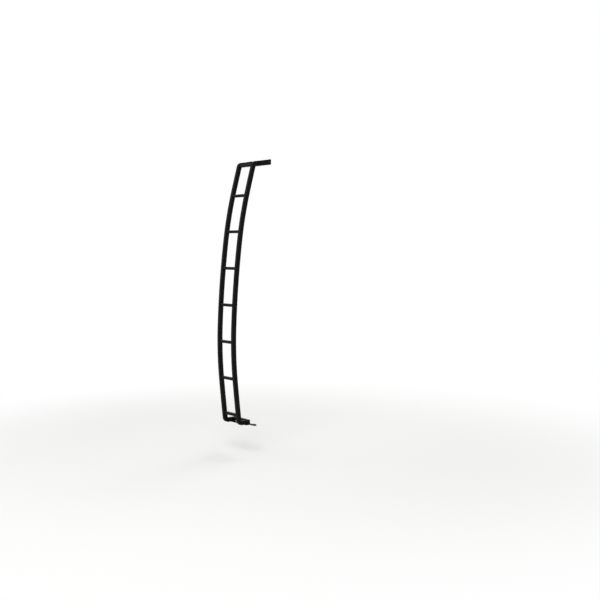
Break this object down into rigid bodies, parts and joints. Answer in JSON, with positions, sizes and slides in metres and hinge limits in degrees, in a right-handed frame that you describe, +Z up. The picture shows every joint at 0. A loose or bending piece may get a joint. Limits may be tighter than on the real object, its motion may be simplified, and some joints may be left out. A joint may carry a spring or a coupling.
{
  "type": "fixed side ladder for a van's roof rack",
  "caption": "Bowed side ladder that hangs from a van's roof rack: tube stiles bent in at head and foot, ribbed rungs, rack strip and brackets above, cross tube and flat bar under the sill below.",
  "frame": {"origin": "middle of the rack strip's flat inner face, which bolts against the roof rack's side rail", "axes": "+X along the rungs, to the vehicle's rear on the ladder's side; +Y from the ladder into the vehicle, square to the strip; +Z up"},
  "size_m": [0.496, 0.4442, 2.4348],
  "materials": {
    "coated_steel": "satin black powder coat",
    "coated_tread": "ribbed, satin black powder coat, worn on the ribs",
    "rubber": "matt black rubber",
    "plug_plastic": "moulded black nylon"
  },
  "bodies": {
    "root": {"front_stile": "coated_steel", "rear_stile": "coated_steel", "rung_1": "coated_tread", "rung_2": "coated_tread", "rung_3": "coated_tread", "rung_4": "coated_tread", "rung_5": "coated_tread", "rung_6": "coated_tread", "rung_7": "coated_tread", "rung_8": "coated_tread", "front_rack_bracket": "coated_steel", "rear_rack_bracket": "coated_steel", "rack_strip": "coated_steel", "front_foot_plug": "plug_plastic", "rear_foot_plug": "plug_plastic", "foot_crossbar": "coated_steel", "crossbar_strip": "rubber", "sill_bar": "coated_steel", "front_sill_pad": "rubber", "rear_sill_pad": "rubber"}
  },
  "joints": []
}
